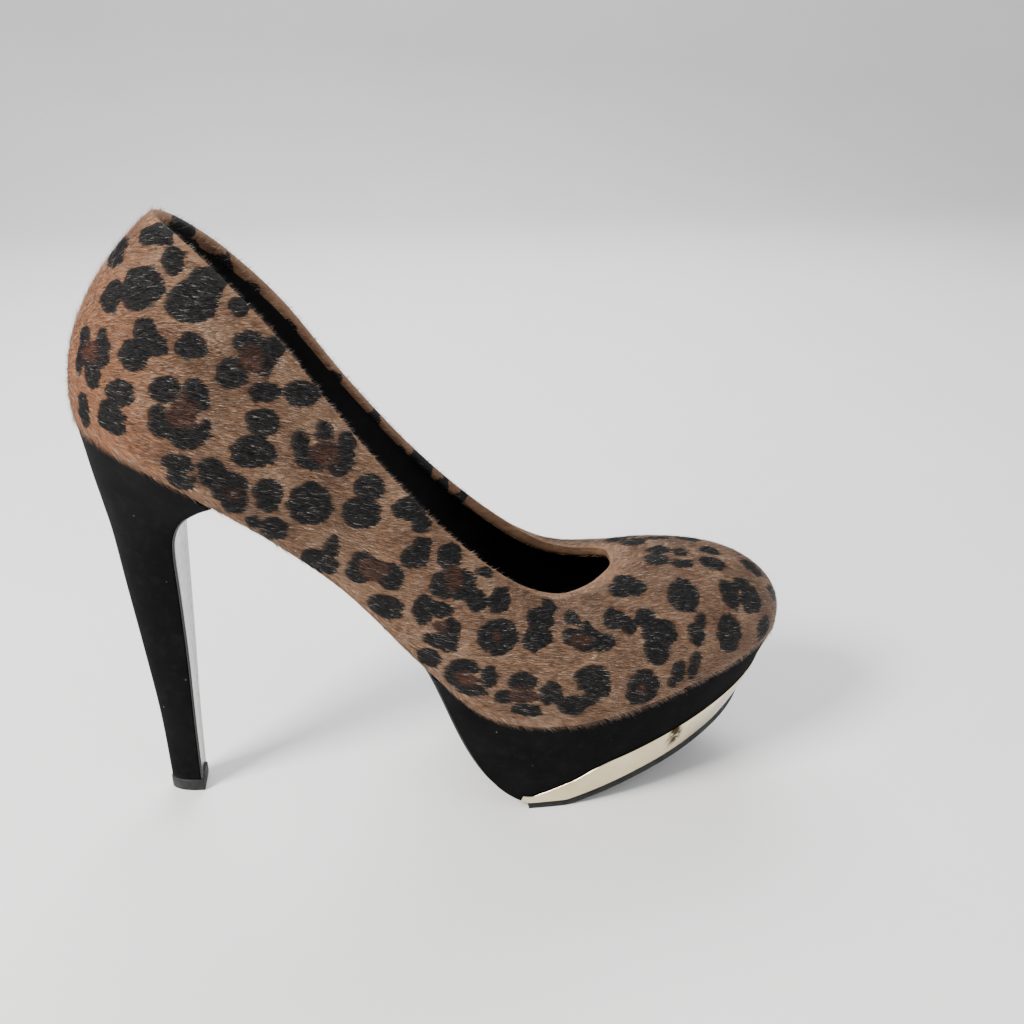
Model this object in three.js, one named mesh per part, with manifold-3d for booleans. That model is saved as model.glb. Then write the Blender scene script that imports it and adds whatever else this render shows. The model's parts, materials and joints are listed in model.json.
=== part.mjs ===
// High heel platform pump for a right foot: a hair-calf upper, lasted over an insole board, on a wrapped
// platform with a metal trim band and a wrapped stiletto heel.
// Millimetres, +Z up. The toe points to +X and the medial (inner) side of the foot is +Y.
// The origin is the middle of the shoe's footprint box, on the ground.
import * as THREE from "three";
import { LoftGeometry } from "three/addons/geometries/LoftGeometry.js";
import { mergeVertices } from "three/addons/utils/BufferGeometryUtils.js";
import Module from "manifold-3d";

const wasm = await Module();
wasm.setup();

// ---- Driving dimensions -------------------------------------------------------------------------

const lastLength = 235; // heel back to toe tip at the feather edge, measured level
const ballWidth = 83; // feather edge to feather edge across the ball
const heelWidth = 57; // the same across the heel seat
const lengthScale = lastLength / 235; // against the length that lengthwise places are listed for
const seatHeight = 143.5; // ground to the feather edge at the heel back
const ballHeight = 39; // ground to the feather edge under the ball: the platform height
const toeHeight = 51; // ground to the feather edge at the toe tip
const quarterScale = 1; // topline height above the feather edge, against the heights listed in stations

const gap = 0.3; // clearance between neighbouring pieces
const upperThick = 1.2;
const layerGap = 0.5; // clearance between the layers of the wall, which bend two ways
const stiffenerThick = 0.5;
const liningThick = 0.7;
const marginWidth = 11; // how far the lasted upper turns in under the insole board
const boardThick = 1.8;
const foamThick = 1.6;
const sockThick = 0.7;

const outsoleThick = 2.2;
const soleFrom = 3.5; // station where the sole's rear edge meets the heel breast
const coverThick = 0.8;
const coverMargin = 9; // how far the platform cover turns in over and under the core
const sideBelly = 0.3; // how far the platform's side bellies out at half its height
const coverStart = 1.6; // platform height where the cover begins
const coreStart = 3;
const tipCut = 0.15; // how far short of the tips the flat layers stop, in stations
const waistSoleThick = 1;
const waistSoleInset = 3;
const treadShare = 0.81; // width of the platform's bottom against its top, under the ball
const soleToeShare = 0.9; // the same near the toe
const toeUndercut = 12.5 * lengthScale; // how far the sole's toe tip stands behind the upper's
const platformSlope = 36 * lengthScale; // level length of the back of the platform
const treadLength = 13 * lengthScale; // flat ground contact under the ball
const toeSpring = 25; // rise of the sole from the tread to its toe tip
const rockerCurve = 1.1; // how late the toe spring rises
const trimHeight = 14.5;
const trimThick = 0.5;
const trimStart = 7.9; // station of the band's rear ends
const trimTaper = 1.1; // stations over which it reaches its full height

const heelWrap = 0.7;
const breastThick = 0.8;
const liftHeight = 4.5;
const liftProud = 0.4; // how far the top lift stands out round the heel tip
const heelFront = 3.3; // station of the heel's front corners
const stemX = 16.7 * lengthScale; // the axis of the heel's stem, ahead of the heel back
const tubeRadius = 2.4;
const tubeBore = 1.6;
const tubeTop = 98; // height of the top of the reinforcing tube in the heel stem
const pinLength = 22;

const shankWidth = 11;
const shankThick = 1.1;
const alongShoe = (places) => places.map((x) => x * lengthScale);
const shankSpan = alongShoe([15, 104]); // ends of the shank, from the heel back
const rivets = { at: alongShoe([48, 92]), body: 1.4, head: 3, headThick: 0.6 };
const screw = { at: 24 * lengthScale, body: 2, head: 4, headThick: 0.7, length: 18 };
const nails = { at: alongShoe([20, 34]), out: 9, body: 0.9, head: 2.2, headThick: 0.5, length: 15 };

// ---- Materials ----------------------------------------------------------------------------------

const finish = (color, roughness, metalness = 0) =>
  new THREE.MeshStandardMaterial({ color, roughness, metalness });
const materials = {
  hairCalf: finish(0x9a6a45, 0.8),
  lining: finish(0x0d0d0e, 0.8),
  interlining: finish(0xcfc6b4, 0.9),
  fibreBoard: finish(0x8a6f50, 0.9),
  foam: finish(0xd9d4c4, 0.95),
  suede: finish(0x101011, 0.95),
  patent: finish(0x0b0b0c, 0.25),
  rubber: finish(0x161616, 0.7),
  trim: finish(0xd8cfa8, 0.15, 1),
  plastic: finish(0x2b2b2d, 0.5),
  steel: finish(0xb4b6b8, 0.35, 1),
};

// ---- Mesh building ------------------------------------------------------------------------------

const lerp = THREE.MathUtils.lerp;
const inXZ = (x, z) => new THREE.Vector3(x, 0, z);
const spread = (from, to, count) => Array.from({ length: count + 1 }, (_, i) => lerp(from, to, i / count));

// From one value to another through the whole multiples of a step between them.
function stepped(from, to, step) {
  const [first, last] = [Math.ceil(from / step + 0.1), Math.floor(to / step - 0.1)];
  const inner = Array.from({ length: Math.max(0, last - first + 1) }, (_, i) => (first + i) * step);
  return [from, ...inner, to];
}

const loft = (sections) => new LoftGeometry(sections, { capStart: true, capEnd: true });

// A solid between two grids of points, front[column][row] and back[column][row].
// Seen from in front, columns run right and rows run up. With wrap, the last column joins the first.
function slab(front, back, wrap = false) {
  const sections = front.map((column, i) => [...back[i], ...column.toReversed()]);
  if (wrap) sections.push(sections[0]);
  return new LoftGeometry(sections, { capStart: !wrap, capEnd: !wrap });
}

function toManifold(geometry) {
  const bare = new THREE.BufferGeometry().setAttribute("position", geometry.attributes.position);
  const merged = mergeVertices(bare.setIndex(geometry.index), 1e-3);
  return new wasm.Manifold(
    new wasm.Mesh({
      numProp: 3,
      vertProperties: new Float32Array(merged.attributes.position.array),
      triVerts: new Uint32Array(merged.index.array),
    }),
  );
}

function cut(geometry, tools) {
  const solid = tools.reduce((left, tool) => left.subtract(toManifold(tool)), toManifold(geometry));
  const mesh = solid.getMesh();
  const result = new THREE.BufferGeometry();
  result.setAttribute("position", new THREE.BufferAttribute(new Float32Array(mesh.vertProperties), 3));
  result.setIndex(new THREE.BufferAttribute(new Uint32Array(mesh.triVerts), 1));
  return result;
}

// A stepped pin: [radius, height] corners, turned round Z and stood on a place along a direction.
function turned(corners, segments, place = new THREE.Vector3(), direction = new THREE.Vector3(0, 0, 1)) {
  const geometry = new THREE.LatheGeometry(
    corners.map(([radius, height]) => new THREE.Vector2(radius, height)),
    segments,
  );
  geometry.rotateX(Math.PI / 2);
  geometry.applyQuaternion(new THREE.Quaternion().setFromUnitVectors(new THREE.Vector3(0, 0, 1), direction));
  return geometry.translate(place.x, place.y, place.z);
}

// ---- The last: four rails round the foot --------------------------------------------------------

// Stations run from the heel back (0) along one side to the toe tip (13). Each row lists:
// along: share of lastLength. lateral, medial: share of half the heel or ball width.
// drop: share of the fall from the seat to the ball. spring: share of the rise from the ball to the toe.
// top: topline point from the feather point, as [forward, inward, up].
// low, high: the wall curve's handles at the feather edge and the topline, as [forward, outward, up].
const seatStations = 5; // stations whose width follows the heel, and not the ball
const stations = [
  [0, 0, 0, 1, 0, [30, 0, 59], [-3, 0, 22], [-18.5, 0, -15]],
  [0.019, 0.46, 0.46, 0.981, 0, [28, 6, 59.8], [-2.5, 2, 22], [-17, 3.5, -16]],
  [0.07, 0.84, 0.84, 0.923, 0, [22.5, 11, 61], [-1, 3.5, 22], [-12, 7, -17.5]],
  [0.147, 1, 1, 0.821, 0, [15, 10, 61.7], [1, 3.5, 22], [-6, 8, -18]],
  [0.24, 0.95, 0.92, 0.658, 0, [8, 3, 61.4], [1.5, 4.5, 20], [-3, 5.5, -18]],
  [0.334, 0.64, 0.6, 0.462, 0, [4, -1, 55.2], [1.5, 4.5, 18], [-1, 3.5, -17]],
  [0.428, 0.735, 0.7, 0.215, 0, [0, 1, 57.5], [1, 4.5, 17], [0, 4.5, -17]],
  [0.517, 0.9, 0.89, 0.037, 0, [-4, 7.5, 57.7], [0.5, 4, 16], [1.5, 7, -16]],
  [0.623, 1, 1, 0, 0.03, [-13, 13.5, 47.5], [1, 3.5, 15], [5, 10, -10]],
  [0.73, 0.985, 0.97, 0, 0.36, [-24, 19, 35.5], [2, 3, 14], [11, 11, -4]],
  [0.836, 0.83, 0.84, 0, 0.79, [-38, 19.5, 28.7], [3, 3, 14], [20, 10, 2]],
  [0.921, 0.57, 0.65, 0, 0.96, [-50.5, 15, 27.5], [4, 2, 15.5], [32, 8, 5.5]],
  [0.977, 0.26, 0.38, 0, 1, [-59.5, 7.5, 28], [3.5, 1, 17], [43, 4, 6.5]],
  [1, -0.07, 0.07, 0, 1, [-64, 2.2, 28.3], [3.5, 0, 17], [46, 0, 6.5]],
].map(([along, lateral, medial, drop, spring, top, low, high]) => ({
  along, lateral, medial, drop, spring, top, low, high,
}));
const toe = stations.length - 1;
const lap = 2 * toe; // stations once round: lateral side out, medial side back

// The control points of one station's wall curve, on one side of the foot.
function wallAt(index, side) {
  const s = stations[index];
  const half = (index < seatStations ? heelWidth : ballWidth) / 2;
  const width = half * (side < 0 ? s.lateral : s.medial);
  const height = ballHeight + s.drop * (seatHeight - ballHeight) + s.spring * (toeHeight - ballHeight);
  const feather = new THREE.Vector3(s.along * lastLength, side * width, height);
  const step = ([forward, outward, up]) =>
    new THREE.Vector3(forward * lengthScale, side * outward, up * quarterScale);
  const topline = feather.clone().add(step([s.top[0], -s.top[1], s.top[2]]));
  return [feather, feather.clone().add(step(s.low)), topline.clone().add(step(s.high)), topline];
}

const around = [
  ...stations.map((_, index) => wallAt(index, -1)),
  ...spread(toe - 1, 1, toe - 2).map((index) => wallAt(Math.round(index), 1)),
];
const rails = [0, 1, 2, 3].map(
  (n) => new THREE.CatmullRomCurve3(around.map((wall) => wall[n]), true, "catmullrom", 0.5),
);
const onRail = (rail, k) => rail.getPoint((((k % lap) + lap) % lap) / lap);

// A point of the upper's outer surface: k goes round the foot, t from the feather edge to the topline.
function surface(k, t) {
  const [a, b, c, d] = rails.map((rail) => onRail(rail, k));
  return new THREE.CubicBezierCurve3(a, b, c, d).getPoint(THREE.MathUtils.clamp(t, 0, 1));
}

function surfaceNormal(k, t) {
  const dk = 0.05;
  const dt = 0.01;
  const alongK = surface(k + dk, t).sub(surface(k - dk, t));
  const alongT = surface(k, Math.min(1, t + dt)).sub(surface(k, Math.max(0, t - dt)));
  return alongK.cross(alongT).normalize();
}

const wallPoint = (k, t, depth) => surface(k, t).addScaledVector(surfaceNormal(k, t), -depth);

// ---- The bottom: ruled surfaces over an outline --------------------------------------------------

// An outline has edge(k), its plan point at a station, and profile(k), its [x, z] there.
const featherLine = {
  edge: (k) => onRail(rails[0], k),
  profile: (k) => onRail(rails[0], k),
};

// The base line, which the soles lie under: it follows the waist, falls down the back of the platform,
// runs level along the tread and rises to the toe.
const platformStart = 6;
const treadStart = 8;
const treadEnd = 8.5;
const waistEnd = offsetOf(featherLine, platformStart, -gap);
const treadStartX = waistEnd.x + platformSlope;
const treadEndX = treadStartX + treadLength;
const soleToeX = lastLength - toeUndercut;
const platformBack = new THREE.CubicBezierCurve3(
  waistEnd,
  inXZ(lerp(waistEnd.x, treadStartX, 0.28), waistEnd.z * 0.78),
  inXZ(lerp(waistEnd.x, treadStartX, 0.39), waistEnd.z * 0.16),
  inXZ(treadStartX, outsoleThick),
);

function baseProfile(k) {
  if (k <= platformStart) return offsetOf(featherLine, k, -gap);
  if (k <= treadStart) return platformBack.getPoint((k - platformStart) / (treadStart - platformStart));
  if (k <= treadEnd) {
    const tread = (k - treadStart) / (treadEnd - treadStart);
    return inXZ(lerp(treadStartX, treadEndX, tread), outsoleThick);
  }
  const featherX = (station) => featherLine.profile(station).x;
  const share = (featherX(k) - featherX(treadEnd)) / (featherX(toe) - featherX(treadEnd));
  return inXZ(lerp(treadEndX, soleToeX, share), outsoleThick + toeSpring * share ** rockerCurve);
}

const baseLine = {
  edge: (k) => {
    const own = k <= toe ? k : lap - k;
    const { smoothstep } = THREE.MathUtils;
    const narrowing = lerp(1, treadShare, smoothstep(own, platformStart - 1, platformStart + 1.5));
    const widening = lerp(0, soleToeShare - treadShare, smoothstep(own, treadEnd, toe - 1));
    const p = baseProfile(own);
    return new THREE.Vector3(p.x, onRail(rails[0], k).y * (narrowing + widening), p.z);
  },
  profile: baseProfile,
};

// The unit normal of a profile in the XZ plane, pointing up.
function profileNormal(line, k) {
  const dk = 0.005;
  const slope = line.profile(Math.min(toe, k + dk)).sub(line.profile(Math.max(0, k - dk)));
  return inXZ(-slope.z, slope.x).normalize();
}

function offsetOf(line, k, up) {
  const p = line.profile(k).clone();
  p.y = 0;
  return p.addScaledVector(profileNormal(line, k), up);
}

// The station whose profile point has this x.
function stationAt(line, x) {
  let [low, high] = [0, toe];
  for (let i = 0; i < 40; i++) {
    const middle = (low + high) / 2;
    if (line.profile(middle).x < x) low = middle;
    else high = middle;
  }
  return (low + high) / 2;
}

// A plan point, moved in from the outline at station k by an inset.
function insetEdge(line, k, inset) {
  const dk = 0.05;
  const tangent = line.edge(k + dk).sub(line.edge(k - dk)).setZ(0).normalize();
  const edge = line.edge(k);
  return new THREE.Vector3(edge.x - tangent.y * inset, edge.y + tangent.x * inset, 0);
}

// A point over the ruled surface of a line, at plan x and y, raised by up along the profile's normal.
function raised(line, x, y, up) {
  const k = stationAt(line, x);
  const p = line.profile(k);
  const n = profileNormal(line, k);
  return new THREE.Vector3(x + n.x * up, y, p.z + n.z * up);
}

const edgePoint = (line, k, inset, up) => {
  const p = insetEdge(line, k, inset);
  return raised(line, p.x, p.y, up);
};

// One rib across the foot at station k, from the lateral to the medial edge.
const rib = (line, k, inset, up) => [k, lap - k].map((station) => edgePoint(line, station, inset, up));

// A plate between two heights over a line, from one station to another.
function plate(line, from, to, inset, low, high, step = 0.5) {
  const columns = stepped(from, to, step);
  return slab(
    columns.map((k) => rib(line, k, inset, high)),
    columns.map((k) => rib(line, k, inset, low)),
  );
}

// ---- Layers of the upper's wall ------------------------------------------------------------------

// Depths from the upper's outer surface.
const stiffenerOuter = upperThick + layerGap;
const stiffenerInner = stiffenerOuter + stiffenerThick;
const liningOuter = stiffenerInner + layerGap;
const liningInner = liningOuter + liningThick;

// Levels of the bottom stock above the feather line.
const boardInset = liningInner + 2 * gap;
const shankLow = 0;
const shankHigh = shankLow + shankThick;
const boardLow = upperThick + layerGap;
const boardHigh = boardLow + boardThick;
const foamLow = boardHigh + gap;
const foamHigh = foamLow + foamThick;
const sockLow = foamHigh + gap;
const sockHigh = sockLow + sockThick;

const rows = [0.04, 0.15, 0.3, 0.48, 0.66, 0.82, 0.97];
const wallStep = 0.5;
const vampFrom = 6.5; // from this station forward, where the wall bends most, columns stand twice as close

function wallColumns(from, to) {
  const bends = [from, vampFrom, lap - vampFrom, to].filter((k) => k >= from && k <= to);
  return stepped(from, to, wallStep / 2).filter(
    (k) => bends.includes(k) || k % wallStep === 0 || (k > vampFrom && k < lap - vampFrom),
  );
}

// A layer between two depths, from one station round to another, with its lower and upper edges.
function layer(from, to, outer, inner, { bottom = rows[0], top = rows.at(-1), wrap = false } = {}) {
  const columns = wallColumns(from, to).slice(0, wrap ? -1 : undefined);
  const heights = [bottom, ...rows.filter((t) => t > bottom + 0.02 && t < top - 0.02), top];
  const grid = (depth) => columns.map((k) => heights.map((t) => wallPoint(k, t, depth)));
  return slab(grid(outer), grid(inner), wrap);
}

// The whole-cut upper: wall, feather edge and the lasted margin turned in under the foot.
function upperShell() {
  const columns = wallColumns(0, lap).slice(0, -1);
  const heights = [...rows, 1];
  const turnedIn = [marginWidth, marginWidth / 2];
  const outer = columns.map((k) => [
    ...turnedIn.map((inset) => edgePoint(featherLine, k, inset, 0)),
    surface(k, 0),
    ...heights.map((t) => surface(k, t)),
  ]);
  const inner = columns.map((k) => [
    ...[...turnedIn, upperThick].map((inset) => edgePoint(featherLine, k, inset, upperThick)),
    ...heights.map((t) => wallPoint(k, t, upperThick)),
  ]);
  return slab(outer, inner, true);
}

// ---- Platform ------------------------------------------------------------------------------------

// How high the platform stands between the sole and the upper at a station.
const platformRoom = (k) => offsetOf(featherLine, k, -gap).distanceTo(offsetOf(baseLine, k, gap));

// The station where the platform, thickening from the waist, reaches a height.
function platformFrom(height) {
  let k = platformStart;
  while (platformRoom(k) < height) k += 0.02;
  return k;
}

// A point of the platform's side: share runs from its bottom edge to its top edge.
function sidePoint(k, share, inset, squeeze = inset) {
  const out = inset - sideBelly * 4 * share * (1 - share);
  const low = edgePoint(baseLine, k, out, gap + squeeze);
  return low.lerp(edgePoint(featherLine, k, out, -gap - squeeze), share);
}

function platformCover() {
  const from = platformFrom(coverStart);
  const columns = stepped(from, lap - from, wallStep / 2);
  const section = (k, depth) => [
    edgePoint(baseLine, k, coverMargin, gap + depth),
    ...spread(0, 1, 3).map((share) => sidePoint(k, share, depth)),
    edgePoint(featherLine, k, coverMargin, -gap - depth),
  ];
  const thickness = (k) => Math.min(coverThick, platformRoom(k <= toe ? k : lap - k) / 4);
  return slab(
    columns.map((k) => section(k, 0)),
    columns.map((k) => section(k, thickness(k))),
  );
}

function platformCore() {
  const inset = coverThick + 3 * gap;
  const columns = stepped(platformFrom(2 * inset + coreStart), toe - tipCut, wallStep / 2);
  return slab(
    columns.map((k) => rib(featherLine, k, inset, -gap - inset)),
    columns.map((k) => rib(baseLine, k, inset, gap + inset)),
  );
}

// The trim band round the front, rising out of the sole edge at both ends.
function trimBand() {
  const columns = stepped(trimStart, lap - trimStart, wallStep / 2);
  const height = (k) => {
    const own = k <= toe ? k : lap - k;
    return 1 + (trimHeight - 1) * THREE.MathUtils.smoothstep(own, trimStart - 0.3, trimStart + trimTaper);
  };
  const column = (k, out) => {
    const side = sidePoint(k, 1, -out, 0).distanceTo(sidePoint(k, 0, -out, 0));
    return [0.3, 0.3 + height(k) / 2, 0.3 + height(k)].map((up) => sidePoint(k, up / side, -out, 0));
  };
  return slab(
    columns.map((k) => column(k, gap + trimThick)),
    columns.map((k) => column(k, gap)),
  );
}

// ---- Heel ----------------------------------------------------------------------------------------

// Heel sections from the tip up to the seat. Each runs from a back point to two front corners.
// backUp, frontUp: their share of the height from the tip to the seat.
// back, front: their place along X from the axis of the heel's stem. half: half the width at the corners.
const heelLevels = [
  { backUp: 0, frontUp: 0, back: -5.5, front: 5.8, half: 5.2 },
  { backUp: 0.19, frontUp: 0.225, back: -6.1, front: 6.6, half: 6.6 },
  { backUp: 0.38, frontUp: 0.455, back: -8, front: 7.8, half: 9 },
  { backUp: 0.565, frontUp: 0.665, back: -10.1, front: 8.6, half: 12.2 },
  { backUp: 0.71, frontUp: 0.815, back: -11.6, front: 9.2, half: 15.3 },
  { backUp: 0.79, frontUp: 0.885, back: -13, front: 10.6, half: 17.8 },
  { backUp: 0.862, frontUp: 0.937, back: -14.4, front: 13.8, half: 21 },
  { backUp: 0.935, frontUp: 0.974, back: -15.6, front: 18.8, half: 24.8 },
];
const heelTip = liftHeight + gap;
const seatBack = offsetOf(featherLine, 0, -gap);
const seatFront = offsetOf(featherLine, heelFront, -gap);
const heelShares = spread(-1, 1, 16); // from the medial corner over the back to the lateral corner

function sectionPoint(level, share, inset, breast) {
  const angle = (Math.abs(share) * Math.PI) / 2;
  const forward = 1 - Math.cos(angle);
  const side = -Math.sign(share) * (level.half - inset) * Math.sin(angle);
  const rise = lerp(level.backUp, level.frontUp, forward);
  return new THREE.Vector3(
    stemX + lerp(level.back * lengthScale + inset, level.front * lengthScale - breast, forward),
    side,
    lerp(heelTip, lerp(seatBack.z, seatFront.z, forward), rise),
  );
}

// The heel's wall, wall[column][level], at an inset and with its front corners set back from the breast.
// It runs a little above the seat, where seatTool trims it.
function heelWall(inset, breast) {
  return heelShares.map((share) => {
    const edge = insetEdge(featherLine, share * heelFront, inset);
    const seat = raised(featherLine, edge.x, edge.y, -gap);
    seat.x -= breast * Math.abs(share) ** 8;
    const column = heelLevels.map((level) => sectionPoint(level, share, inset, breast));
    return [...column, ...[-1, 4].map((up) => seat.clone().setZ(seat.z + up))];
  });
}

// A wall's rings, one for each level, each from the medial corner over the back to the lateral corner.
const ringsOf = (wall) => wall[0].map((_, level) => wall.map((column) => column[level]));

// Everything above the heel seat, across the shoe.
function seatTool() {
  const under = stepped(0, 6, 0.5).map((k) => offsetOf(featherLine, k, -gap));
  const above = [inXZ(under.at(-1).x, 2 * seatHeight), inXZ(-60, 2 * seatHeight)];
  const outline = [inXZ(-60, under[0].z), ...under, ...above];
  const shape = new THREE.Shape(outline.map((corner) => new THREE.Vector2(corner.x, corner.z)));
  const tool = new THREE.ExtrudeGeometry(shape, { depth: 2 * heelWidth, bevelEnabled: false });
  return tool.rotateX(Math.PI / 2).translate(0, heelWidth, 0);
}

function addHeel() {
  const breast = breastThick + layerGap;
  const coreInset = heelWrap + layerGap;
  const stem = inXZ(stemX, 0);
  const bore = (radius, low, high) => turned([[0, low], [radius, low], [radius, high], [0, high]], 24, stem);
  const core = loft(ringsOf(heelWall(coreInset, breast)));
  const inner = ringsOf(heelWall(heelWrap, breast));
  const outer = ringsOf(heelWall(0, breast));
  const cover = loft(outer.map((ring, level) => [...ring, ...inner[level].toReversed()]));
  const tubeWall = [[tubeBore, heelTip], [tubeRadius, heelTip], [tubeRadius, tubeTop], [tubeBore, tubeTop]];
  const tube = turned([...tubeWall, tubeWall[0]], 24, stem);
  const tubeHole = bore(tubeRadius + gap, 0, tubeTop + gap);
  add("heel_core", cut(core, [seatTool(), tubeHole, ...seatHoles()]), materials.plastic);
  add("heel_tube", tube, materials.steel);
  add("heel_cover", cut(cover, [seatTool()]), materials.suede);
  add("heel_breast_strip", cut(breastStrip(), [seatTool()]), materials.patent);

  const pinLow = liftHeight / 2;
  const pinRadius = tubeBore - gap;
  const pin = [[0, pinLow], [pinRadius, pinLow], [pinRadius, pinLow + pinLength], [0, pinLow + pinLength]];
  add("top_lift", cut(topLift(), [bore(tubeBore, pinLow - gap, 2 * liftHeight)]), materials.rubber);
  add("top_lift_pin", turned(pin, 16, stem), materials.steel);
}

// The top lift: the heel's tip section, standing a little proud.
function topLift() {
  const ring = heelShares.map((share) => sectionPoint(heelLevels[0], share, -liftProud, -liftProud));
  return loft([0, liftHeight].map((height) => ring.map((corner) => corner.clone().setZ(height))));
}

// The strip down the heel's breast, over the front edges of the heel cover.
function breastStrip() {
  const rings = ringsOf(heelWall(0, 0)).map((ring) => [ring.at(-1), ring[0]]);
  const behind = (corner) => corner.clone().setX(corner.x - breastThick);
  return loft(rings.map(([lateral, medial]) => [lateral, medial, behind(medial), behind(lateral)]));
}

// ---- Fasteners -----------------------------------------------------------------------------------

// A headed pin standing square to the insole board, its head on the board's top.
function headedPin(size, x, y, length) {
  const corners = [
    [0, -length], [size.body, -length], [size.body, gap], [size.head, gap],
    [size.head, gap + size.headThick], [0, gap + size.headThick],
  ];
  return turned(corners, 16, raised(featherLine, x, y, boardHigh), boardUp(x));
}

const boardUp = (x) => profileNormal(featherLine, stationAt(featherLine, x));
const clearance = (radius, x, y, low, high) =>
  turned([[0, low], [radius + gap, low], [radius + gap, high], [0, high]], 16,
    raised(featherLine, x, y, boardHigh), boardUp(x));

const seatNails = nails.at.flatMap((x) => [[x, -nails.out], [x, nails.out]]);
const fasteners = [
  ...rivets.at.map((x) => [rivets, x, 0]),
  [screw, screw.at, 0],
  ...seatNails.map(([x, y]) => [nails, x, y]),
];
const seatHoles = () =>
  fasteners
    .slice(rivets.at.length)
    .map(([size, x, y]) => clearance(size.body, x, y, -size.length - gap, size.length));
const boardHoles = () =>
  fasteners.map(([size, x, y]) => clearance(size.body, x, y, -size.head * 2, size.head * 2));
const headPockets = () =>
  fasteners.map(([size, x, y]) => clearance(size.head, x, y, 0, gap + size.headThick + gap));

// ---- Bottom stock --------------------------------------------------------------------------------

function addBottomStock() {
  const flat = (from, to, inset, low, high) => plate(featherLine, from, to, inset, low, high);
  const ends = [tipCut, toe - tipCut];
  const shankXs = spread(...shankSpan, 12);
  const shankRow = (up) =>
    shankXs.map((x) => [-0.5, 0.5].map((side) => raised(featherLine, x, side * shankWidth, up)));
  const shank = slab(shankRow(shankHigh), shankRow(shankLow));
  const fillerInset = marginWidth + 2 * gap;
  add("forefoot_filler", flat(7.4, toe - 1.2, fillerInset, shankLow, shankHigh), materials.foam);
  add("shank", cut(shank, boardHoles()), materials.steel);
  const board = flat(...ends, boardInset, boardLow, boardHigh);
  add("insole_board", cut(board, boardHoles()), materials.fibreBoard);
  add("insole_foam", cut(flat(...ends, boardInset, foamLow, foamHigh), headPockets()), materials.foam);
  add("sock_lining", flat(...ends, boardInset, sockLow, sockHigh), materials.lining);
  const pin = (name, size, x, y, length) => add(name, headedPin(size, x, y, length), materials.steel);
  rivets.at.forEach((x, i) => pin(`shank_rivet_${i + 1}`, rivets, x, 0, boardHigh - shankLow));
  pin("heel_screw", screw, screw.at, 0, screw.length);
  seatNails.forEach(([x, y], i) => pin(`heel_nail_${i + 1}`, nails, x, y, nails.length));
}

// ---- Assembly ------------------------------------------------------------------------------------

const shoe = new THREE.Group();
const pump = new THREE.Group();
shoe.add(pump);

function add(name, geometry, material) {
  const mesh = new THREE.Mesh(geometry, material);
  mesh.name = name;
  pump.add(mesh);
}

function addUpper() {
  const stiffener = (name, from, to, edges, material) =>
    add(name, layer(from, to, stiffenerOuter, stiffenerInner, edges), material);
  add("upper", upperShell(), materials.hairCalf);
  stiffener("toe_puff", toe - 3, toe + 3, { top: rows[4] }, materials.interlining);
  stiffener("heel_counter", -4.5, 4.5, { top: rows[4] }, materials.fibreBoard);
  stiffener("topline_tape", 0, lap, { bottom: rows[5], wrap: true }, materials.interlining);
}

function addLinings() {
  const seam = 0.015; // half the gap at a lining seam, in stations
  const pieces = {
    heel_grip_lining: [-2.5, 2.5],
    lateral_quarter_lining: [2.5, toe - 5],
    vamp_lining: [toe - 5, toe + 5],
    medial_quarter_lining: [toe + 5, lap - 2.5],
  };
  for (const [name, [from, to]] of Object.entries(pieces)) {
    add(name, layer(from + seam, to - seam, liningOuter, liningInner), materials.lining);
  }
}

function addPlatform() {
  add("platform_core", platformCore(), materials.plastic);
  add("platform_cover", platformCover(), materials.suede);
  add("platform_trim", trimBand(), materials.trim);
  const sole = (from, to, inset, thick) => plate(baseLine, from, to, inset, -thick, 0, wallStep / 2);
  add("waist_sole", sole(soleFrom, treadStart - 0.02, waistSoleInset, waistSoleThick), materials.patent);
  add("outsole", sole(treadStart + 0.02, toe - tipCut, 0, outsoleThick), materials.rubber);
}

addUpper();
addLinings();
addBottomStock();
addPlatform();
addHeel();

// The origin moves to the middle of the footprint, on the ground.
const box = new THREE.Box3().setFromObject(shoe, true);
const centre = box.getCenter(new THREE.Vector3());
pump.position.set(-centre.x, -centre.y, -box.min.z);

export default shoe;
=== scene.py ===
"""High heel platform pump: spotted hair-calf upper, black suede platform and heel, metal trim band.

Lengths are millimetres in the last's own frame (heel back at x = 0) until a piece is made, and metres
in the CAD frame after that. The toe points to +X and the medial side of the foot is +Y.
"""
import json
import math

import bpy
import numpy as np
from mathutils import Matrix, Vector


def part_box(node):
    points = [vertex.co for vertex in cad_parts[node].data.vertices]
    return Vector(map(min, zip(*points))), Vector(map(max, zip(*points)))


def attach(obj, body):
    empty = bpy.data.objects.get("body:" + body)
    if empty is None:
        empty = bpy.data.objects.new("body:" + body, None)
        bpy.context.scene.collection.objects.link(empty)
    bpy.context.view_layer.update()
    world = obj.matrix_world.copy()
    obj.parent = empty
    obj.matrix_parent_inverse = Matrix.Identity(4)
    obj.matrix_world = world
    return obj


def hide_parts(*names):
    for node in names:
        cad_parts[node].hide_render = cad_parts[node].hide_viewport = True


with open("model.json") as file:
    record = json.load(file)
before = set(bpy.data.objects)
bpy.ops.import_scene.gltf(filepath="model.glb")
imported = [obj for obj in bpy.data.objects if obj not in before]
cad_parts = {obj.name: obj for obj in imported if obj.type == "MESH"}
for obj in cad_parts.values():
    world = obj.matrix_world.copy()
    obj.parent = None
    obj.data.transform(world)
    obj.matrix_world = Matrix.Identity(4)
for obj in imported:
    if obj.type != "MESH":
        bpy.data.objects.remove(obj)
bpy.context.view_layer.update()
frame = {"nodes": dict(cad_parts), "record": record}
rng = np.random.default_rng(40)

# ---- Dimensions, the same as the CAD model's -------------------------------------------------------

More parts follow.
